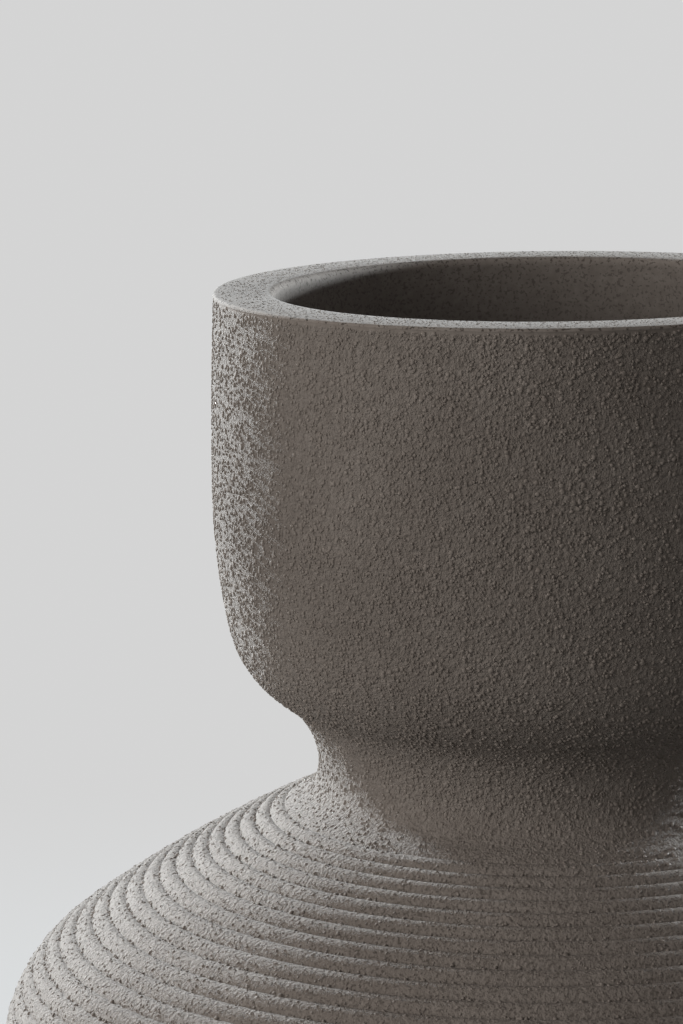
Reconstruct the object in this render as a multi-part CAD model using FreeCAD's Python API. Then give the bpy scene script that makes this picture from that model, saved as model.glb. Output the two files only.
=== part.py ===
import FreeCAD, Part
import math
import os

os.makedirs("parts", exist_ok=True)

# Urn vase in sand-textured stoneware, on four felt pads under its foot.
# Millimetres, +Z up, origin on the table at the centre of the foot.
# The section is a closed outline of (radius, height) points, turned about the Z axis.

# Heights
total_height = 340.0
cup_depth = 121.5
rim_to_cup_belly = 50.0
waist_to_widest = 75.5

# Outside radii
rim_radius = 85.0
cup_belly_radius = 86.2
waist_radius = 60.2
body_radius = 143.0
foot_radius = 78.0

# Arcs of the outside, from the rim down
cup_side_arc = 175.0
cup_corner_arc = 30.0
waist_upper_arc = 20.5
waist_lower_arc = 9.4
shoulder_arc = 348.0
shoulder_corner_arc = 39.4

# Walls and bevelled edges
cup_wall = 15.5
body_wall = 9.0
floor_thickness = 12.0
rim_outer_bevel = 1.0
rim_inner_bevel = 2.0

# Foot ring
foot_height = 7.0
foot_recess = 4.0
foot_bevel = 1.6

# Felt pads under the foot ring
pad_width = 16.0
pad_thickness = 2.0
pad_margin = 3.0
pad_count = 4

# Turned ribs, each with a level tread out to its crest and a steep riser down to the next groove
rib_count = 12
rib_start = 13.8
rib_depth = 0.6
rib_first_pitch = 4.5
rib_pitch_growth = 0.1
rib_last_pitch = 5.25
rib_tread_share = 0.27
bowl_rib_count = 4

# Straight runs that the arcs are turned in, from the rim down
cup_runs = (1, 1, 4, 4)
flare_runs = (2,)
plain_body_runs = (2, 4)
inside_runs = (1, 2)


def on_circle(centre, radius, angle):
    """The point of a circle at an angle above the outward direction."""
    return (centre[0] + radius * math.cos(angle), centre[1] + radius * math.sin(angle))


def bearing(centre, point):
    """The angle at which a centre sees a point."""
    return math.atan2(point[1] - centre[1], point[0] - centre[0])


def angle_at(centre, radius, height):
    """The angle of a circle's outward point at a height."""
    return math.asin((height - centre[1]) / radius)


def upright_arc(widest, other):
    """Centre and radius of the arc that is upright at its widest point and ends at the other."""
    inward = widest[0] - other[0]
    radius = (inward ** 2 + (widest[1] - other[1]) ** 2) / (2 * inward)
    return (widest[0] - radius, widest[1]), radius


def touching_centre(near, near_reach, far, far_reach):
    """The centre of an arc that touches two others, clockwise of the way from near to far."""
    apart = math.hypot(far[0] - near[0], far[1] - near[1])
    beyond = (near_reach ** 2 - far_reach ** 2 + apart ** 2) / (2 * apart)
    return on_circle(near, near_reach, bearing(near, far) - math.acos(beyond / near_reach))


# Levels

waist_height = total_height - cup_depth
cup_belly_height = total_height - rim_to_cup_belly
widest_height = waist_height - waist_to_widest
foot_underside = pad_thickness
foot_top = foot_underside + foot_height
foot_ring_inside = foot_radius - pad_width - 2 * pad_margin
recess_top = foot_underside + foot_recess
floor_top = recess_top + floor_thickness

# Centres of the outside's arcs, each arc touching the next

upper_centre, upper_arc = upright_arc(
    (cup_belly_radius, cup_belly_height),
    (rim_radius, total_height),
)
side_centre = (cup_belly_radius - cup_side_arc, cup_belly_height)
cove_centre = (waist_radius + waist_upper_arc, waist_height)
corner_centre = touching_centre(
    cove_centre,
    waist_upper_arc + cup_corner_arc,
    side_centre,
    cup_side_arc - cup_corner_arc,
)
flare_centre = (waist_radius + waist_lower_arc, waist_height)
crown_centre = (body_radius - shoulder_corner_arc, widest_height)
shoulder_centre = touching_centre(
    flare_centre,
    waist_lower_arc + shoulder_arc,
    crown_centre,
    shoulder_arc - shoulder_corner_arc,
)
bowl_centre, bowl_arc = upright_arc((body_radius, widest_height), (foot_radius, foot_top))

# Angles where one arc hands over to the next

rim_angle = angle_at(upper_centre, upper_arc, total_height - rim_outer_bevel)
side_end = bearing(side_centre, corner_centre)
corner_end = bearing(corner_centre, cove_centre)
shoulder_start = bearing(shoulder_centre, flare_centre)
shoulder_end = bearing(shoulder_centre, crown_centre)
bowl_end = angle_at(bowl_centre, bowl_arc, foot_top)

# Arcs as centre, radius, first angle and last angle

cup = [
    (upper_centre, upper_arc, rim_angle, 0),
    (side_centre, cup_side_arc, 0, side_end),
    (corner_centre, cup_corner_arc, side_end, corner_end),
    (cove_centre, waist_upper_arc, corner_end + math.pi, math.pi),
]
flare = [(flare_centre, waist_lower_arc, math.pi, shoulder_start + math.pi)]
body = [
    (shoulder_centre, shoulder_arc, shoulder_start, shoulder_end),
    (crown_centre, shoulder_corner_arc, shoulder_end, 0),
    (bowl_centre, bowl_arc, 0, bowl_end),
]


def flats(arcs, runs):
    """Points that cut each arc into its number of straight runs, without the last arc's end."""
    points = []
    for (centre, radius, first, last), count in zip(arcs, runs):
        turn = (last - first) / count
        points += [on_circle(centre, radius, first + turn * step) for step in range(count)]
    return points


def past(arcs, reach):
    """What is left of clockwise arcs past a length along them."""
    (centre, radius, first, last), *following = arcs
    length = radius * (first - last)
    if following and reach > length:
        return past(following, reach - length)
    return [(centre, radius, first - reach / radius, last), *following]


def on_body(reach, depth=0):
    """The point at a length along the body from its flare, some depth under its surface."""
    centre, radius, angle = past(body, reach)[0][:3]
    return on_circle(centre, radius - depth, angle)


def bowl_points(arc):
    """The bowl in wide ribs: each riser runs into a groove, a tread before the next crest."""
    centre, radius, first, last = arc
    turn = (last - first) / bowl_rib_count
    tread_turn = rib_tread_share * rib_last_pitch / radius
    points = [on_circle(centre, radius, first)]
    for index in range(1, bowl_rib_count):
        crest = first + turn * index
        points.append(on_circle(centre, radius - rib_depth, crest + tread_turn))
        points.append(on_circle(centre, radius, crest))
    return points


def body_points():
    """The body from its flare to its foot: a plain start, close ribs, plain runs, wide ribs."""
    crest = rib_start
    pitch = rib_first_pitch
    points = [on_body(0), on_body(crest)]
    for index in range(rib_count):
        groove = crest + pitch * (1 - rib_tread_share)
        crest += pitch
        points += [on_body(groove, rib_depth), on_body(crest)]
        pitch = min(pitch + rib_pitch_growth, rib_last_pitch)
    *plain, bowl = past(body, crest)
    return points + (flats(plain, plain_body_runs[-len(plain):]) + bowl_points(bowl))[1:]


def foot_points():
    """The foot ring and the recess inside it, out to in."""
    return [
        (foot_radius, foot_top),
        (foot_radius, foot_underside + foot_bevel),
        (foot_radius - foot_bevel, foot_underside),
        (foot_ring_inside, foot_underside),
        (foot_ring_inside, recess_top),
        (0, recess_top),
    ]


def inside_points():
    """The hollow: cup bore, cone, neck bore, then the body a wall's thickness inside."""
    cup_bore = min(rim_radius, cup_belly_radius) - cup_wall
    neck_bore = waist_radius - cup_wall
    shoulder = shoulder_arc - body_wall
    high = on_circle(shoulder_centre, shoulder, shoulder_start)
    low = on_circle(shoulder_centre, shoulder, shoulder_end)
    slope = (high[1] - low[1]) / (high[0] - low[0])
    bowl = bowl_arc - body_wall
    hollow = [
        (crown_centre, shoulder_corner_arc - body_wall, shoulder_end, 0),
        (bowl_centre, bowl, 0, angle_at(bowl_centre, bowl, floor_top)),
    ]
    return [
        (cup_bore + rim_inner_bevel, total_height),
        (cup_bore, total_height - rim_inner_bevel),
        (cup_bore, on_circle(side_centre, cup_side_arc, side_end)[1]),
        (neck_bore, on_circle(corner_centre, cup_corner_arc, corner_end)[1]),
        (neck_bore, high[1] + slope * (neck_bore - high[0])),
        *flats(hollow, inside_runs),
        on_circle(*hollow[-1][:2], hollow[-1][3]),
        (0, floor_top),
    ]


def vase_body():
    """One fired vessel: cup, waist, ribbed body and foot, hollow from the rim to its floor."""
    rim = [(rim_radius - rim_outer_bevel, total_height)]
    outside = rim + flats(cup, cup_runs) + flats(flare, flare_runs) + body_points() + foot_points()
    outline = outside + inside_points()[::-1]
    corners = [FreeCAD.Vector(radius, 0, height) for radius, height in outline]
    section = Part.Face(Part.makePolygon(corners + corners[:1]))
    return section.revolve(FreeCAD.Vector(), FreeCAD.Vector(0, 0, 1), 360)


def felt_pad(index):
    """A square felt pad, centred on the width of the foot ring."""
    corner = FreeCAD.Vector(foot_radius - pad_margin - pad_width, -pad_width / 2, 0)
    pad = Part.makeBox(pad_width, pad_width, pad_thickness, corner)
    pad.rotate(FreeCAD.Vector(), FreeCAD.Vector(0, 0, 1), 360 * (index + 1 / 2) / pad_count)
    return pad


vase_body().exportStep("parts/vase_body.step")
for index in range(pad_count):
    felt_pad(index).exportStep("parts/felt_pad_%d.step" % (index + 1))
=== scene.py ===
import math

import bpy
import numpy as np
from mathutils import Matrix, Vector


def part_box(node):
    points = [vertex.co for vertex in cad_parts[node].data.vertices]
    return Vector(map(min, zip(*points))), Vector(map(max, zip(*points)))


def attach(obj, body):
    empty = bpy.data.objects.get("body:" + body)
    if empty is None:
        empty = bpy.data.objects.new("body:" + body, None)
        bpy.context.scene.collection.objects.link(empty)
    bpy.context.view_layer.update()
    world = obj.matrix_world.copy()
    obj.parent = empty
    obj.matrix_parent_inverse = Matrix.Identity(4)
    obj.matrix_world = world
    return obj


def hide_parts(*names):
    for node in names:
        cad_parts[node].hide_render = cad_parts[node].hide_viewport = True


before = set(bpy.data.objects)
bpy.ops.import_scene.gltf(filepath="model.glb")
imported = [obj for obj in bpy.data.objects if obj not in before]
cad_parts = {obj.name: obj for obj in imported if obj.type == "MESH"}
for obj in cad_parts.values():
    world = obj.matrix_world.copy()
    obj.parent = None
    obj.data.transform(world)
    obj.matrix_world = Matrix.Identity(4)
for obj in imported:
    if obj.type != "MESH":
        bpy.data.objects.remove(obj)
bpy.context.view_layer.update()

# Urn vase in sand-textured stoneware on four felt pads.
# Metres, +Z up, origin on the table at the centre of the foot.
# The vessel is one line of (radius, height) points turned about the Z axis.

body_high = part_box("vase_body")[1]
pad_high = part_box("felt_pad_1")[1]

# Heights
total_height = body_high.z
rim_to_cup_belly = 0.050
cup_depth = 0.1215
waist_to_widest = 0.0755

# Outside radii
rim_radius = 0.085
cup_belly_radius = 0.0862
waist_radius = 0.0602
body_radius = body_high.x
foot_radius = 0.078

# Arcs of the outside, from the rim down
cup_side_arc = 0.175
cup_corner_arc = 0.030
waist_upper_arc = 0.0205
waist_lower_arc = 0.0094
shoulder_arc = 0.348
shoulder_corner_arc = 0.0394

# Walls and rounded edges
cup_wall = 0.0155
body_wall = 0.009
floor_thickness = 0.012
rim_outer_round = 0.0008
rim_inner_round = 0.0024
hollow_rounds = (0.013, 0.0115, 0.0115, 0.0135, 0.0135, 0.035, 0.022)

# Foot ring and pads
foot_height = 0.007
foot_recess = 0.004
foot_round = 0.0016
recess_round = 0.0012
ring_inner_round = 0.0008
foot_ring_inside = 0.056
pad_thickness = pad_high.z
pad_width = 0.016
pad_margin = 0.003
pad_count = 4
pad_edge_round = 0.0005
pad_cap_inset = 0.0015
pad_corner_power = 14

# Turned ribs: from a sharp groove a tread rounds over the crest into a riser down to the next
first_line = 0.0051
first_pitch = 0.0043
pitch_growth = 0.0001
last_pitch = 0.00525
rib_depth = 0.0009
faint_rib_shares = (0.6, 0.9)
groove_lead = 0.27
crest_share = 0.42
tread_power = 2.4
riser_power = 1.9
plain_band_above_foot = 0.009

# Sand grains, which stand on the skin and reach the outline
cup_grain_stand = 0.00030
body_grain_stand = 0.00016
rim_grain_stand = 0.00014
rim_grain_count = 3200
rim_grain_width = 0.0006
rim_grain_width_range = (0.6, 1.4)
rim_grain_height_range = (0.5, 1)
grain_sink = 0.00010
grain_spacing = 0.00150
grain_width = 0.00098
grain_width_spread = 0.3
grain_widest = 0.0018
grain_slimmest = 0.00045
grain_height_share = 0.37
grain_height_range = (0.6, 1.2)
grain_room_in_ribs = 0.7
body_grain_share = 0.55
body_grain_size = 0.62
grains_per_piece = 14000
smooth_band_under_rim = 0.0006
seed = 11

# A grain's shape, as shares of its width and height
grain_sides = 4
grain_turn_jitter = 0.2
grain_reach_range = (0.75, 1.2)
grain_lean = 0.15
grain_shoulder_width = 0.62
grain_shoulder_height = 0.78

# Where grains gather: a field of clumps and one of wide patches, with the most waves down and round
field_rows = 900
field_columns = 1400
field_waves = 40
clump_waves = (130, 120)
patch_waves = (14, 9)
least_chance = 0.3
clump_chance = 1.4
least_patch = 0.5

# Rows and columns of the surfaces, and the angles past which their edges stay sharp
skin_columns = 200
plain_row_counts = (12, 10, 12, 12, 10)
lead_in_row_shares = (0, 0.5)
rib_row_shares = (0, 0.08, 0.18, 0.32, 0.48, 0.66, 0.84)
run_out_row_shares = (0, 0.2, 0.5, 1)
foot_band_rows = 4
foot_round_rows = (4, 4, 5)
rim_edge_rows = 5
hollow_round_rows = (6, 9, 9, 9, 9, 9, 14, 9)
pad_columns = 72
pad_edge_rows = 5
skin_sharp_angle = math.radians(30)
grain_sharp_angle = math.radians(180)
felt_sharp_angle = math.radians(60)

# How strong the fine grit and the painted shade of the pits are, and how dark the painted shade in
# the grooves and the hollow, as shares
body_grit_share = 0.6
cup_pit_shade = 0.25
body_pit_shade = 0.6
inside_pit_shade = 0.1
# Painted shade in the grooves: the colour darkens where a rib sinks past a share of its depth
groove_painted_shade = 0.85
groove_shade_start = 0.8
# Painted shade in the hollow: the colour darkens below the rim's inner edge
inside_painted_shade = 0.34


def on_circle(centre, radius, angle):
    """The point of a circle at an angle above the outward direction."""
    return (centre[0] + radius * math.cos(angle), centre[1] + radius * math.sin(angle))


def bearing(centre, point):
    """The angle at which a centre sees a point."""
    return math.atan2(point[1] - centre[1], point[0] - centre[0])


def angle_at(centre, radius, height):
    """The angle of a circle's outward point at a height."""
    return math.asin((height - centre[1]) / radius)


def upright_arc(widest, other):
    """Centre and radius of the arc that is upright at its widest point and ends at the other."""
    inward = widest[0] - other[0]
    radius = (inward ** 2 + (widest[1] - other[1]) ** 2) / (2 * inward)
    return (widest[0] - radius, widest[1]), radius


def touching_centre(near, near_reach, far, far_reach):
    """The centre of an arc that touches two others, clockwise of the way from near to far."""
    apart = math.hypot(far[0] - near[0], far[1] - near[1])
    beyond = (near_reach ** 2 - far_reach ** 2 + apart ** 2) / (2 * apart)
    return on_circle(near, near_reach, bearing(near, far) - math.acos(beyond / near_reach))


# Levels

waist_height = total_height - cup_depth
cup_belly_height = total_height - rim_to_cup_belly
widest_height = waist_height - waist_to_widest
foot_underside = pad_thickness
foot_top = foot_underside + foot_height
recess_top = foot_underside + foot_recess
floor_top = recess_top + floor_thickness

# Arcs of the outside, each touching the next, as centre, radius, first angle and last angle

upper_centre, upper_arc = upright_arc(
    (cup_belly_radius, cup_belly_height),
    (rim_radius, total_height),
)
side_centre = (cup_belly_radius - cup_side_arc, cup_belly_height)
cove_centre = (waist_radius + waist_upper_arc, waist_height)
corner_centre = touching_centre(
    cove_centre,
    waist_upper_arc + cup_corner_arc,
    side_centre,
    cup_side_arc - cup_corner_arc,
)
flare_centre = (waist_radius + waist_lower_arc, waist_height)
crown_centre = (body_radius - shoulder_corner_arc, widest_height)
shoulder_centre = touching_centre(
    flare_centre,
    waist_lower_arc + shoulder_arc,
    crown_centre,
    shoulder_arc - shoulder_corner_arc,
)
bowl_centre, bowl_arc = upright_arc((body_radius, widest_height), (foot_radius, foot_top))
rim_angle = angle_at(upper_centre, upper_arc, total_height - rim_outer_round)
side_end = bearing(side_centre, corner_centre)
corner_end = bearing(corner_centre, cove_centre)
shoulder_start = bearing(shoulder_centre, flare_centre)
shoulder_end = bearing(shoulder_centre, crown_centre)
bowl_end = angle_at(bowl_centre, bowl_arc, foot_top)

upper_side = (upper_centre, upper_arc, rim_angle, 0)
lower_side = (side_centre, cup_side_arc, 0, side_end)
cup_corner = (corner_centre, cup_corner_arc, side_end, corner_end)
cove = (cove_centre, waist_upper_arc, corner_end + math.pi, math.pi)
flare = (flare_centre, waist_lower_arc, math.pi, shoulder_start + math.pi)
shoulder = (shoulder_centre, shoulder_arc, shoulder_start, shoulder_end)
crown = (crown_centre, shoulder_corner_arc, shoulder_end, 0)
bowl = (bowl_centre, bowl_arc, 0, bowl_end)
outside = (upper_side, lower_side, cup_corner, cove, flare, shoulder, crown, bowl)
body_arcs = (shoulder, crown, bowl)


def arc_length(arc):
    """Radius times the angle turned."""
    return arc[1] * abs(arc[3] - arc[2])


outside_length = sum(map(arc_length, outside))
body_length = sum(map(arc_length, body_arcs))
body_start = outside_length - body_length


def outside_at(reach):
    """Points and outward normals of the smooth outside at an array of lengths from the rim down.

    Each length falls on one arc: its point is the centre plus the radius at the angle turned so
    far. A clockwise arc bulges, so its normal points away from the centre, and otherwise to it.
    """
    starts = np.cumsum([0] + [arc_length(arc) for arc in outside[:-1]])
    which = np.clip(np.searchsorted(starts, reach, side="right") - 1, 0, len(outside) - 1)
    centres = np.array([arc[0] for arc in outside])[which]
    radii = np.array([arc[1] for arc in outside])[which]
    first = np.array([arc[2] for arc in outside])[which]
    way = np.array([np.sign(arc[3] - arc[2]) for arc in outside])[which]
    angle = first + way * (reach - starts[which]) / radii
    ray = np.stack([np.cos(angle), np.sin(angle)], axis=-1)
    return centres + radii[:, None] * ray, -way[:, None] * ray


def rib_lines():
    """Lengths of the grooves along the body and the depth of each.

    Pitches grow by a steady step up to the last pitch. A groove leads its rib's line by a share.
    """
    grooves = []
    line = first_line
    pitch = first_pitch
    while line < body_length - plain_band_above_foot:
        grooves.append(line - groove_lead * pitch)
        line += pitch
        pitch = min(pitch + pitch_growth, last_pitch)
    depths = np.full(len(grooves), rib_depth)
    depths[:len(faint_rib_shares)] *= faint_rib_shares
    depths[-1] *= faint_rib_shares[-1]
    return np.array(grooves), depths


grooves, groove_depths = rib_lines()


def rib_sink(reach):
    """How far the ribs sink the surface at an array of lengths along the body.

    From a groove to the crest the sink is its depth times a power of the share of the tread still
    ahead. From there it is the next groove's depth times a power of the share of the riser passed.
    """
    which = np.searchsorted(grooves, reach, side="right") - 1
    before = which < 0
    after = which >= len(grooves) - 1
    here = np.clip(which, 0, len(grooves) - 2)
    share = (reach - grooves[here]) / (grooves[here + 1] - grooves[here])
    tread = groove_depths[here] * np.clip(1 - share / crest_share, 0, 1) ** tread_power
    risen = np.clip((share - crest_share) / (1 - crest_share), 0, 1)
    riser = groove_depths[here + 1] * risen ** riser_power
    lead_in = groove_depths[0] * np.clip(reach / grooves[0], 0, 1) ** riser_power
    ahead = 1 - (reach - grooves[-1]) / (crest_share * last_pitch)
    run_out = groove_depths[-1] * np.clip(ahead, 0, 1) ** tread_power
    return np.where(before, lead_in, np.where(after, run_out, tread + riser))


def on_body_share(reach):
    """Zero on the cup and the neck, one on the body, with an even step over the flare."""
    flare_length = arc_length(flare)
    return np.clip((reach - body_start + flare_length) / (2 * flare_length), 0, 1)


rim_top = total_height - rim_grain_stand


def stand_at(reach):
    """How far the grains stand on the skin: nothing at the rim's edge, more on cup than body."""
    stand = cup_grain_stand + (body_grain_stand - cup_grain_stand) * on_body_share(reach)
    return stand * np.clip(reach / smooth_band_under_rim, 0, 1)


def skin_at(reach):
    """The skin under the sand: the outside, set in by the grains' stand and sunk by the ribs."""
    points, normals = outside_at(reach)
    sink = rib_sink(reach - body_start)
    return points - normals * (stand_at(reach) + sink)[:, None], normals


def rounded(corners, cuts, steps):
    """A line through corners, each replaced by a parabola that starts and ends a cut before it.

    A parabola is (1-t)(1-t) start + 2t(1-t) corner + t t end. A cut of zero leaves the corner.
    """
    points = [corners[0]]
    for before, corner, after, cut, count in zip(corners, corners[1:], corners[2:], cuts, steps):
        before, corner, after = map(np.array, (before, corner, after))
        start = corner + cut * (before - corner) / np.linalg.norm(before - corner)
        end = corner + cut * (after - corner) / np.linalg.norm(after - corner)
        for t in np.linspace(0, 1, count):
            points.append((1 - t) ** 2 * start + 2 * t * (1 - t) * corner + t ** 2 * end)
    return np.array([*points, corners[-1]])


def outside_rows():
    """Lengths of the skin's rows from the rim down: even on the plain arcs, shares of each rib."""
    plain_arcs = outside[:len(plain_row_counts)]
    plain_ends = np.cumsum([0] + [arc_length(arc) for arc in plain_arcs])
    rows = [
        np.linspace(start, end, count, endpoint=False)
        for start, end, count in zip(plain_ends, plain_ends[1:], plain_row_counts)
    ]
    rows[0] = np.insert(rows[0], 1, [smooth_band_under_rim, 2 * smooth_band_under_rim])
    spans = np.diff(grooves)
    ribs = grooves[:-1, None] + spans[:, None] * np.array(rib_row_shares)
    run_out = grooves[-1] + crest_share * last_pitch * np.array(run_out_row_shares)
    rows.append(body_start + np.array(lead_in_row_shares) * grooves[0])
    rows.append(body_start + ribs.ravel())
    rows.append(body_start + run_out)
    rows.append(np.linspace(rows[-1][-1], outside_length, foot_band_rows)[1:])
    return np.concatenate(rows)


def inside_line():
    """The hollow from the flat rim down to the middle of its floor, with rounded turns."""
    cup_bore = rim_radius - cup_wall
    neck_bore = waist_radius - cup_wall
    thin = shoulder_arc - body_wall
    high = on_circle(shoulder_centre, thin, shoulder_start)
    low = on_circle(shoulder_centre, thin, shoulder_end)
    slope = (high[1] - low[1]) / (high[0] - low[0])
    hollow_arc = bowl_arc - body_wall
    low_angle = angle_at(bowl_centre, hollow_arc, floor_top)
    corners = [
        (0.5 * (rim_radius + cup_bore), rim_top),
        (cup_bore, rim_top),
        (cup_bore, on_circle(side_centre, cup_side_arc, side_end)[1]),
        (neck_bore, on_circle(corner_centre, cup_corner_arc, corner_end)[1]),
        (neck_bore, high[1] + slope * (neck_bore - high[0])),
        low,
        (body_radius - body_wall, widest_height),
        on_circle(bowl_centre, hollow_arc, 0.5 * low_angle),
        on_circle(bowl_centre, hollow_arc, low_angle),
        (0, floor_top),
    ]
    return rounded(corners, (rim_inner_round, *hollow_rounds), hollow_round_rows)


def foot_line():
    """The underside, from the middle of the recess out to the top of the foot ring."""
    ring = foot_radius - body_grain_stand
    corners = [
        (0, recess_top),
        (foot_ring_inside, recess_top),
        (foot_ring_inside, foot_underside),
        (ring, foot_underside),
        (ring, foot_top),
    ]
    return rounded(corners, (recess_round, ring_inner_round, foot_round), foot_round_rows)


def skin_line():
    """The whole section from the recess to the hollow's floor, with its grit and the painted shade
    of its pits, grooves and hollow.

    The foot comes first, then the outside upwards, the rim's edge, its top and the hollow.
    """
    foot = foot_line()[:-1]
    rows = outside_rows()[::-1]
    side = skin_at(rows)[0]
    hollow = inside_line()
    rim_corner = [side[-1], (rim_radius, rim_top), hollow[0]]
    edge = rounded(rim_corner, (rim_outer_round,), (rim_edge_rows,))[1:-1]
    line = np.concatenate([foot, side, edge, hollow])
    body = on_body_share(rows)
    band = np.clip((rows - smooth_band_under_rim) / smooth_band_under_rim, 0, 1)
    # Painted shade: the colour darkens in the deepest part of each groove
    sunk = rib_sink(rows - body_start) / rib_depth
    groove_shade_mask = np.clip((sunk - groove_shade_start) / (1 - groove_shade_start), 0, 1)
    # Inside the hollow the painted shade and the pit shade deepen from the rim's inner edge down
    below_rim = np.clip((total_height - hollow[:, 1]) / (2 * rim_inner_round), 0, 1)
    side_grit = band * (1 + (body_grit_share - 1) * body)
    side_pit_shade = band * (cup_pit_shade + (body_pit_shade - cup_pit_shade) * body)
    # Rows: grit strength, painted shade of pits, and painted shade that darkens grooves and the
    # hollow; each for foot, outside, rim top and hollow
    shares = [
        (0, side_grit, 0, 0 * below_rim),
        (body_pit_shade, side_pit_shade, 1, 1 + (inside_pit_shade - 1) * below_rim),
        (1, 1 + (groove_painted_shade - 1) * groove_shade_mask, 1, 1 + (inside_painted_shade - 1) * below_rim),
    ]
    grit_and_painted_shade = [
        np.concatenate([np.full(len(foot), under), out, np.full(len(edge), top), within])
        for under, out, top, within in shares
    ]
    return line, grit_and_painted_shade


def ring_mesh(name, rings):
    """A closed mesh from rings of points: quads between rings and a fan at each end.

    The first and the last ring are single points, and the rings turn anticlockwise from above.
    """
    count = len(rings[1])
    points = np.concatenate([rings[0][:1], *rings[1:-1], rings[-1][:1]])
    around = np.arange(count)
    following = (around + 1) % count
    last = len(points) - 1
    starts = 1 + count * np.arange(len(rings) - 3)[:, None]
    quads = np.stack([
        starts + around,
        starts + following,
        starts + count + following,
        starts + count + around,
    ], axis=-1).reshape(-1, 4)
    first_fan = np.stack([np.zeros(count, int), 1 + following, 1 + around], axis=-1)
    top = last - count
    last_fan = np.stack([np.full(count, last), top + around, top + following], axis=-1)
    mesh = bpy.data.meshes.new(name)
    mesh.from_pydata(
        points.tolist(),
        [],
        first_fan.tolist() + quads.tolist() + last_fan.tolist(),
    )
    mesh.update()
    return mesh


def placed(name, mesh, material, sharp_angle):
    """An object for a mesh, shaded smooth up to an angle, that rides on the vessel."""
    mesh.shade_smooth()
    mesh.set_sharp_from_angle(angle=sharp_angle)
    mesh.materials.append(material)
    piece = bpy.data.objects.new(name, mesh)
    bpy.context.scene.collection.objects.link(piece)
    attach(piece, "root")
    return piece


# Materials

def new_material(name):
    """A material with its nodes, its shader and its Object coordinates."""
    material = bpy.data.materials.new(name)
    material.use_nodes = True
    nodes = material.node_tree.nodes
    shader = nodes["Principled BSDF"]
    place = nodes.new("ShaderNodeTexCoord").outputs["Object"]
    return material, nodes, material.node_tree.links, shader, place


def noise(nodes, links, place, size, detail, roughness=0.5):
    """The value of a noise whose lumps are about a size across, in metres."""
    texture = nodes.new("ShaderNodeTexNoise")
    texture.inputs["Scale"].default_value = 1 / size
    texture.inputs["Detail"].default_value = detail
    texture.inputs["Roughness"].default_value = roughness
    links.new(place, texture.inputs["Vector"])
    return texture.outputs["Fac"]


def graded(nodes, links, value, stops):
    """A colour ramp fed by a value, with stops of (place, colour)."""
    ramp = nodes.new("ShaderNodeValToRGB")
    elements = ramp.color_ramp.elements
    for element, (where, colour) in zip(elements, (stops[0], stops[-1])):
        element.position = where
        element.color = (*colour, 1)
    for where, colour in stops[1:-1]:
        elements.new(where).color = (*colour, 1)
    links.new(value, ramp.inputs["Fac"])
    return ramp.outputs["Color"]


def combined(nodes, links, how, first, second, factor=1.0):
    """Two colours combined by a mix node, by a constant or a linked factor."""
    mix = nodes.new("ShaderNodeMix")
    mix.data_type = "RGBA"
    mix.blend_type = how
    if isinstance(factor, float):
        mix.inputs["Factor"].default_value = factor
    else:
        links.new(factor, mix.inputs["Factor"])
    links.new(first, mix.inputs["A"])
    links.new(second, mix.inputs["B"])
    return mix.outputs["Result"]


def sum_of(nodes, links, first, second, share):
    """first + share times second."""
    node = nodes.new("ShaderNodeMath")
    node.operation = "MULTIPLY_ADD"
    node.inputs[1].default_value = share
    links.new(second, node.inputs[0])
    links.new(first, node.inputs[2])
    return node.outputs["Value"]


def bumped(nodes, links, shader, height, distance, strength):
    """Turns a height into the shader's normal. Strength is a number or a linked value."""
    bump = nodes.new("ShaderNodeBump")
    bump.inputs["Distance"].default_value = distance
    if isinstance(strength, float):
        bump.inputs["Strength"].default_value = strength
    else:
        links.new(strength, bump.inputs["Strength"])
    links.new(height, bump.inputs["Height"])
    links.new(bump.outputs["Normal"], shader.inputs["Normal"])


# Stoneware
stone_dark = (0.205, 0.178, 0.158)
stone_mid = (0.235, 0.206, 0.184)
stone_pale = (0.275, 0.244, 0.220)
# Painted shade: dark specks stand in for the shadow in small pits
pit_shade_colour = (0.30, 0.28, 0.26)
white = (1.0, 1.0, 1.0)
black = (0.0, 0.0, 0.0)
stone_roughness = 0.92
cloud_size = 0.06
mottle_size = 0.0022
mottle_share = 0.45
pit_size = 0.0008
pit_bottom = 0.37
pit_edge = 0.43
lump_size = 0.0010
grit_size = 0.0004
grit_share = 0.5
least_grit = 0.08
grit_depth = 0.0011
grain_grit_size = 0.0003
grain_grit_depth = 0.0001
grain_grit_strength = 0.4

# Felt
felt_dark = (0.032, 0.028, 0.025)
felt_pale = (0.075, 0.067, 0.06)
felt_sheen = 0.3
fibre_size = 0.0004
matting_size = 0.003
matting_share = 0.5
fibre_depth = 0.0003
fibre_strength = 0.7


def stoneware_colour(nodes, links, place):
    """Warm grey clay: broad soft clouds and fine mottle."""
    clouds = noise(nodes, links, place, cloud_size, detail=3.0)
    mottle = noise(nodes, links, place, mottle_size, detail=4.0, roughness=0.6)
    blend = combined(nodes, links, "MIX", clouds, mottle, mottle_share)
    return graded(nodes, links, blend, [(0.4, stone_dark), (0.5, stone_mid), (0.6, stone_pale)])


def attribute(nodes, name):
    """The value of a mesh attribute."""
    node = nodes.new("ShaderNodeAttribute")
    node.attribute_name = name
    return node.outputs["Fac"]


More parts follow.
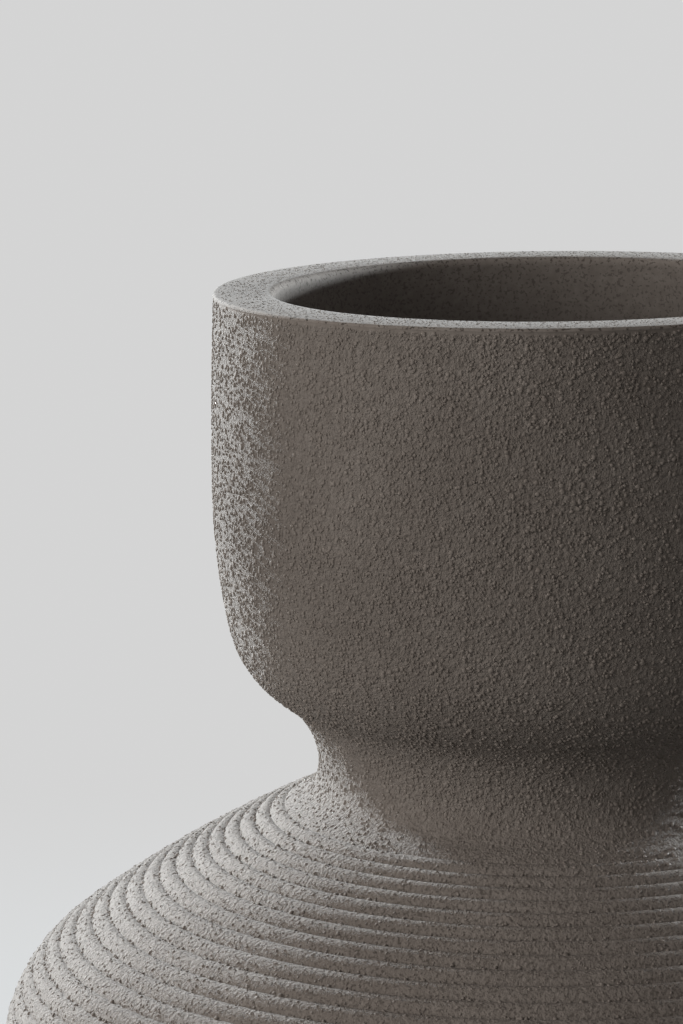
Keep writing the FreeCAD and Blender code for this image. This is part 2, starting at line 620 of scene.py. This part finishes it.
def skin_material():
    """Stoneware whose grit, painted shade of pits and painted shade in grooves and hollow follow
    the skin's three attributes.
    """
    material, nodes, links, shader, place = new_material("stoneware")
    clay = stoneware_colour(nodes, links, place)
    # Painted shade: dark specks for shadowed pits, multiplied into the clay's colour
    holes = noise(nodes, links, place, pit_size, detail=1.0)
    pit_shade = graded(nodes, links, holes, [(pit_bottom, pit_shade_colour), (pit_edge, white)])
    pit_shaded_clay = combined(nodes, links, "MULTIPLY", clay, pit_shade, attribute(nodes, "pit_shade"))
    # Painted shade: the skin's shade attribute darkens the colour in the grooves and the hollow
    painted_shade = graded(nodes, links, attribute(nodes, "painted_shade"), [(0.0, black), (1.0, white)])
    colour = combined(nodes, links, "MULTIPLY", pit_shaded_clay, painted_shade)
    links.new(colour, shader.inputs["Base Color"])
    shader.inputs["Roughness"].default_value = stone_roughness
    grit = noise(nodes, links, place, grit_size, detail=3.0, roughness=0.6)
    lumps = noise(nodes, links, place, lump_size, detail=2.0)
    height = sum_of(nodes, links, lumps, grit, grit_share)
    strength = nodes.new("ShaderNodeMapRange")
    strength.inputs["To Min"].default_value = least_grit
    strength.inputs["To Max"].default_value = 1.0
    links.new(attribute(nodes, "grit"), strength.inputs["Value"])
    bumped(nodes, links, shader, height, grit_depth, strength.outputs["Result"])
    return material


def grain_material():
    """The same stoneware on the grains, a little uneven from grain to grain."""
    material, nodes, links, shader, place = new_material("stoneware_sand")
    clay = stoneware_colour(nodes, links, place)
    links.new(clay, shader.inputs["Base Color"])
    shader.inputs["Roughness"].default_value = stone_roughness
    grit = noise(nodes, links, place, grain_grit_size, detail=2.0)
    bumped(nodes, links, shader, grit, grain_grit_depth, grain_grit_strength)
    return material


def felt_material():
    """Dark felt: matted fibres in two sizes."""
    material, nodes, links, shader, place = new_material("felt")
    fibres = noise(nodes, links, place, fibre_size, detail=4.0, roughness=0.7)
    matting = noise(nodes, links, place, matting_size, detail=2.0)
    height = sum_of(nodes, links, fibres, matting, matting_share)
    colour = graded(nodes, links, height, [(0.5, felt_dark), (1.0, felt_pale)])
    links.new(colour, shader.inputs["Base Color"])
    shader.inputs["Roughness"].default_value = 1.0
    shader.inputs["Sheen Weight"].default_value = felt_sheen
    bumped(nodes, links, shader, fibres, fibre_depth, fibre_strength)
    return material


# The vessel

def vessel():
    """The skin: the section's points carried round the Z axis in even steps."""
    line, grit_and_painted_shade = skin_line()
    angles = np.linspace(0, 2 * math.pi, skin_columns, endpoint=False)
    rings = [
        np.stack([r * np.cos(angles), r * np.sin(angles), np.full(skin_columns, z)], axis=-1)
        for r, z in line
    ]
    mesh = ring_mesh("vase", rings)
    # Grit, painted shade of pits and painted shade of grooves and hollow, as point attributes
    for name, shares in zip(("grit", "pit_shade", "painted_shade"), grit_and_painted_shade):
        values = np.concatenate([shares[:1], np.repeat(shares[1:-1], skin_columns), shares[-1:]])
        mesh.attributes.new(name, "FLOAT", "POINT").data.foreach_set("value", values)
    return placed("vase", mesh, skin_material(), skin_sharp_angle)


vase = vessel()
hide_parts("vase_body")


def smooth_field(random, most_down, most_round):
    """A seeded random field from zero to one on a grid that closes round the vase.

    It is a sum of cosines with random phases, up to the most waves down the outside and a whole
    number of waves, up to the most, round the vase.
    """
    down = np.linspace(0, 2 * math.pi, field_rows)[:, None]
    around = np.linspace(0, 2 * math.pi, field_columns, endpoint=False)[None, :]
    field = np.zeros((field_rows, field_columns))
    for _ in range(field_waves):
        across = random.integers(-most_round, most_round + 1)
        along = random.uniform(-most_down, most_down)
        field += np.cos(across * around + along * down + random.uniform(0, 2 * math.pi))
    return (field - field.min()) / np.ptp(field)


def grain_places(random):
    """Lengths and angles of the grains, spread by area and thinned in patches.

    A try falls evenly on the band of lengths and is kept with the chance radius over widest radius,
    times a share that a field of clumps and a field of wide patches give.
    """
    area = 2 * math.pi * body_radius * outside_length
    tries = int(area / grain_spacing ** 2)
    reach = random.uniform(smooth_band_under_rim, outside_length - foot_round, tries)
    angle = random.uniform(0, 2 * math.pi, tries)
    clumps = smooth_field(random, *clump_waves)
    patches = smooth_field(random, *patch_waves)
    row = (reach / outside_length * (field_rows - 1)).astype(int)
    column = (angle / (2 * math.pi) * field_columns).astype(int) % field_columns
    crowding = clumps[row, column] * (least_patch + patches[row, column])
    chance = least_chance + clump_chance * crowding
    thinned = 1 - (1 - body_grain_share) * on_body_share(reach) * (1 - near_groove(reach))
    radius = outside_at(reach)[0][:, 0]
    kept = random.uniform(0, 1, tries) < chance * thinned * radius / body_radius
    order = np.argsort(reach[kept])
    return reach[kept][order], angle[kept][order]


def near_groove(reach):
    """One in the grooves of the ribs, falling to zero where the ribs sink less than half."""
    return np.clip(2 * rib_sink(reach - body_start) / rib_depth - 1, 0, 1)


def grain_mesh(name, random, foot, normal, angle, width, height):
    """Grains as closed four-sided pebbles: an apex, an uneven shoulder ring and a ring in the skin.

    A ring point is the foot point plus its reach along the slope and round the vase, at the ring's
    height. The apex stands above the foot point, leaning aside by a random share of the width.
    """
    count = len(angle)
    c, s = np.cos(angle), np.sin(angle)
    out = np.stack([normal[:, 0] * c, normal[:, 0] * s, normal[:, 1]], axis=-1)[:, None]
    down = np.stack([normal[:, 1] * c, normal[:, 1] * s, -normal[:, 0]], axis=-1)[:, None]
    round_ = np.stack([-s, c, np.zeros(count)], axis=-1)[:, None]
    base = np.stack([foot[:, 0] * c, foot[:, 0] * s, foot[:, 1]], axis=-1)[:, None]
    sides = grain_sides
    start = random.uniform(0, 2 * math.pi, (count, 1))
    jitter = random.uniform(-grain_turn_jitter, grain_turn_jitter, (count, sides))
    turn = start + (np.arange(sides) + jitter) * 2 * math.pi / sides
    reach_out = 0.5 * width[:, None] * random.uniform(*grain_reach_range, (count, sides))
    aside = grain_lean * width[:, None] * random.uniform(-1, 1, (count, 2))

    def ring(share, rise):
        """A ring of the grain: a share of its reach out, at a rise above the skin."""
        across = share * reach_out * np.cos(turn) + (1 - share) * aside[:, :1]
        along = share * reach_out * np.sin(turn) + (1 - share) * aside[:, 1:]
        return base + rise * out + across[..., None] * down + along[..., None] * round_

    apex = ring(0, height[:, None, None])[:, :1]
    lifted = (grain_shoulder_height * height)[:, None, None]
    shoulder_ring = ring(grain_shoulder_width, lifted)
    points = np.concatenate([apex, shoulder_ring, ring(1, -grain_sink)], axis=1).reshape(-1, 3)
    upper = [(1 + k, 1 + (k + 1) % sides) for k in range(sides)]
    cap = [(0, a, b) for a, b in upper]
    left = [(a, a + sides, b + sides) for a, b in upper]
    right = [(a, b + sides, b) for a, b in upper]
    low = 1 + sides
    under = [(low, low + k + 1, low + k) for k in range(sides - 2, 0, -1)]
    pattern = np.array(cap + left + right + under)
    each = 1 + 2 * sides
    faces = (each * np.arange(count)[:, None, None] + pattern).reshape(-1, 3)
    mesh = bpy.data.meshes.new(name)
    mesh.vertices.add(len(points))
    mesh.vertices.foreach_set("co", points.ravel().astype(np.float32))
    mesh.loops.add(faces.size)
    mesh.loops.foreach_set("vertex_index", faces.ravel().astype(np.int32))
    mesh.polygons.add(len(faces))
    mesh.polygons.foreach_set("loop_start", np.arange(0, faces.size, 3, dtype=np.int32))
    mesh.update()
    return mesh


def side_grains(random):
    """The grains of the outside: foot, normal, angle, width and height of each, from the rim down.

    A height is a share of the width, and at most the room up to the outline.
    """
    reach, angle = grain_places(random)
    foot, normal = skin_at(reach)
    size = 1 - (1 - body_grain_size) * on_body_share(reach) * (1 - near_groove(reach))
    width = np.exp(random.normal(0, grain_width_spread, len(reach))) * grain_width * size
    width = np.clip(width, grain_slimmest, grain_widest)
    lift = random.uniform(*grain_height_range, len(reach))
    height = width * size * grain_height_share * lift
    room = stand_at(reach) + grain_room_in_ribs * rib_sink(reach - body_start)
    return foot, normal, angle, width, np.minimum(height, room)


def rim_grains(random):
    """Fewer and lower grains on the flat rim, spread by area between its two rounded edges."""
    low = (rim_radius - cup_wall + rim_inner_round) ** 2
    high = (rim_radius - rim_outer_round - rim_grain_width) ** 2
    radius = np.sqrt(random.uniform(low, high, rim_grain_count))
    foot = np.stack([radius, np.full(rim_grain_count, rim_top)], axis=-1)
    normal = np.tile((0.0, 1.0), (rim_grain_count, 1))
    angle = random.uniform(0, 2 * math.pi, rim_grain_count)
    width = rim_grain_width * random.uniform(*rim_grain_width_range, rim_grain_count)
    height = rim_grain_stand * random.uniform(*rim_grain_height_range, rim_grain_count)
    return foot, normal, angle, width, height


def sand():
    """The grains of the rim, then of the outside down to the foot, in pieces of equal count."""
    random = np.random.default_rng(seed)
    grains = [np.concatenate(both) for both in zip(rim_grains(random), side_grains(random))]
    material = grain_material()
    total = len(grains[0])
    pieces = math.ceil(total / grains_per_piece)
    cuts = np.linspace(0, total, pieces + 1).astype(int)
    for index, (start, end) in enumerate(zip(cuts, cuts[1:]), 1):
        name = "sand_%d" % index
        mesh = grain_mesh(name, random, *[values[start:end] for values in grains])
        placed(name, mesh, material, grain_sharp_angle)


sand()


# Felt pads

def felt_pad(index, material):
    """A die-cut square of felt with softened edges, under the middle of the foot ring's width.

    The plan is a superellipse, a square whose corners a high power rounds. Its edge rounds from the
    faces to the side as a quarter circle, once below and once above.
    """
    turn = np.linspace(0, 2 * math.pi, pad_columns, endpoint=False)
    c, s = np.cos(turn), np.sin(turn)
    power = pad_corner_power
    size = (np.abs(c) ** power + np.abs(s) ** power) ** (-1 / power)
    plan = np.stack([size * c, size * s], axis=-1)
    quarter = np.linspace(0, math.pi / 2, pad_edge_rows)
    inset = pad_edge_round * (1 - np.sin(quarter))
    rise = pad_edge_round * (1 - np.cos(quarter))
    half = pad_width / 2
    edge = [(half - pad_cap_inset, 0)] + list(zip(half - inset, rise))
    profile = edge + [(reach, pad_thickness - height) for reach, height in edge[::-1]]
    middle = foot_radius - pad_margin - half
    aim = 2 * math.pi * (index + 0.5) / pad_count
    along = np.array([math.cos(aim), math.sin(aim), 0])
    across = np.array([-math.sin(aim), math.cos(aim), 0])

    def ring(reach, height):
        """The plan, scaled to a reach, at a height."""
        return (
            (middle + reach * plan[:, :1]) * along
            + reach * plan[:, 1:] * across
            + np.array([0, 0, height])
        )

    rings = [ring(0, 0)] + [ring(*row) for row in profile] + [ring(0, pad_thickness)]
    name = "felt_pad_soft_%d" % (index + 1)
    piece = placed(name, ring_mesh(name, rings), material, felt_sharp_angle)
    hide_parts("felt_pad_%d" % (index + 1))


felt = felt_material()
for pad_index in range(pad_count):
    felt_pad(pad_index, felt)


# Floor and backdrop

backdrop_level = 0.66
floor_colour = (0.34, 0.34, 0.336)
bounce_colour = (0.05, 0.048, 0.044)
floor_glow_share = 0.45
floor_reach = 16.0
floor_fade_start = 0.25
floor_fade_end = 0.95


def shown_to_eye(nodes, links):
    """One for camera, glossy and transmission rays, zero for the light that falls on the vase."""
    path = nodes.new("ShaderNodeLightPath")
    total = path.outputs["Is Camera Ray"]
    for name in ("Is Glossy Ray", "Is Transmission Ray"):
        either = nodes.new("ShaderNodeMath")
        either.operation = "MAXIMUM"
        links.new(total, either.inputs[0])
        links.new(path.outputs[name], either.inputs[1])
        total = either.outputs["Value"]
    return total


def floor_material():
    """Pale matt floor that keeps the shadow near the vase and fades into the backdrop's level."""
    material = bpy.data.materials.new("studio_floor")
    material.use_nodes = True
    nodes = material.node_tree.nodes
    links = material.node_tree.links
    nodes.remove(nodes["Principled BSDF"])
    output = nodes["Material Output"]
    eye = shown_to_eye(nodes, links)
    colour = nodes.new("ShaderNodeMix")
    colour.data_type = "RGBA"
    colour.inputs["A"].default_value = (*bounce_colour, 1)
    colour.inputs["B"].default_value = (*floor_colour, 1)
    links.new(eye, colour.inputs["Factor"])
    matt = nodes.new("ShaderNodeBsdfDiffuse")
    links.new(colour.outputs["Result"], matt.inputs["Color"])
    glow = nodes.new("ShaderNodeEmission")
    glow.inputs["Color"].default_value = (*white, 1)
    glow.inputs["Strength"].default_value = backdrop_level
    place = nodes.new("ShaderNodeTexCoord")
    length = nodes.new("ShaderNodeVectorMath")
    length.operation = "LENGTH"
    links.new(place.outputs["Object"], length.inputs[0])
    fade = nodes.new("ShaderNodeMapRange")
    fade.interpolation_type = "SMOOTHSTEP"
    fade.inputs["From Min"].default_value = floor_fade_start
    fade.inputs["From Max"].default_value = floor_fade_end
    fade.inputs["To Min"].default_value = floor_glow_share
    links.new(length.outputs["Value"], fade.inputs["Value"])
    share = nodes.new("ShaderNodeMath")
    share.operation = "MULTIPLY"
    links.new(fade.outputs["Result"], share.inputs[0])
    links.new(eye, share.inputs[1])
    mixed = nodes.new("ShaderNodeMixShader")
    links.new(share.outputs["Value"], mixed.inputs["Fac"])
    links.new(matt.outputs["BSDF"], mixed.inputs[1])
    links.new(glow.outputs["Emission"], mixed.inputs[2])
    links.new(mixed.outputs["Shader"], output.inputs["Surface"])
    return material


def studio_floor():
    """A flat square floor that the pads rest on."""
    signs = ((-1, -1), (1, -1), (1, 1), (-1, 1))
    corners = [(x * floor_reach, y * floor_reach, 0) for x, y in signs]
    mesh = bpy.data.meshes.new("studio_floor")
    mesh.from_pydata(corners, [], [(0, 1, 2, 3)])
    mesh.materials.append(floor_material())
    floor = bpy.data.objects.new("studio_floor", mesh)
    bpy.context.scene.collection.objects.link(floor)


studio_floor()


# Light

world_level = 0.13
world_tint = (1.0, 0.925, 0.865)
key_place = (-1.36, 1.82, 0.92)
key_aim = (0, 0, 0.22)
key_size = (0.4, 0.4)
key_power = 155.0
key_tint = (0.86, 0.945, 1.0)
rear_place = (1.10, 0.52, 0.375)
rear_size = (0.25, 0.05)
rear_power = 38.0
fill_place = (-2.1, -1.05, 0.85)
fill_size = (2.4, 1.0)
fill_power = 37.0
fill_tint = (1.0, 0.96, 0.92)


def studio_world():
    """Even, weak light from all round, with the pale backdrop shown to the eye alone."""
    world = bpy.data.worlds.new("studio_world")
    world.use_nodes = True
    nodes = world.node_tree.nodes
    links = world.node_tree.links
    light = nodes["Background"]
    light.inputs["Color"].default_value = (*world_tint, 1)
    light.inputs["Strength"].default_value = world_level
    shown = nodes.new("ShaderNodeBackground")
    shown.inputs["Color"].default_value = (*white, 1)
    shown.inputs["Strength"].default_value = backdrop_level
    mixed = nodes.new("ShaderNodeMixShader")
    links.new(shown_to_eye(nodes, links), mixed.inputs["Fac"])
    links.new(light.outputs["Background"], mixed.inputs[1])
    links.new(shown.outputs["Background"], mixed.inputs[2])
    links.new(mixed.outputs["Shader"], nodes["World Output"].inputs["Surface"])
    bpy.context.scene.world = world


def softbox(name, place, aim, size, power, tint):
    """An area lamp of a width and a height that faces a point."""
    lamp = bpy.data.lights.new(name, "AREA")
    lamp.shape = "RECTANGLE"
    lamp.size, lamp.size_y = size
    lamp.energy = power
    lamp.color = tint
    holder = bpy.data.objects.new(name, lamp)
    holder.location = place
    holder.rotation_euler = (Vector(aim) - Vector(place)).to_track_quat("-Z", "Y").to_euler()
    bpy.context.scene.collection.objects.link(holder)


studio_world()
softbox("key", key_place, key_aim, key_size, key_power, key_tint)
softbox("rear", rear_place, key_aim, rear_size, rear_power, key_tint)
softbox("fill", fill_place, key_aim, fill_size, fill_power, fill_tint)


# Camera, as the photograph's

camera_side_share = -0.6278
camera_back_share = 13.0
camera_rise_share = 1.5017
camera_pitch = 0.1655
camera_roll = -0.0140
focal_length = 155.05
sensor_long_side = 36.0
nearest_seen = 0.05
farthest_seen = 60.0


def photograph_camera():
    """Placed from the middle of the rim by shares of the rim's radius, then pitched and rolled."""
    lens = bpy.data.cameras.new("camera")
    lens.sensor_width = sensor_long_side
    lens.lens = focal_length
    lens.clip_start = nearest_seen
    lens.clip_end = farthest_seen
    camera = bpy.data.objects.new("camera", lens)
    place = Matrix.Translation((
        camera_side_share * rim_radius,
        -camera_back_share * rim_radius,
        total_height + camera_rise_share * rim_radius,
    ))
    pitch = Matrix.Rotation(math.pi / 2 - camera_pitch, 4, "X")
    roll = Matrix.Rotation(camera_roll, 4, "Z")
    camera.matrix_world = place @ pitch @ roll
    bpy.context.scene.collection.objects.link(camera)
    bpy.context.scene.camera = camera


photograph_camera()
bpy.context.scene.view_settings.view_transform = "Standard"
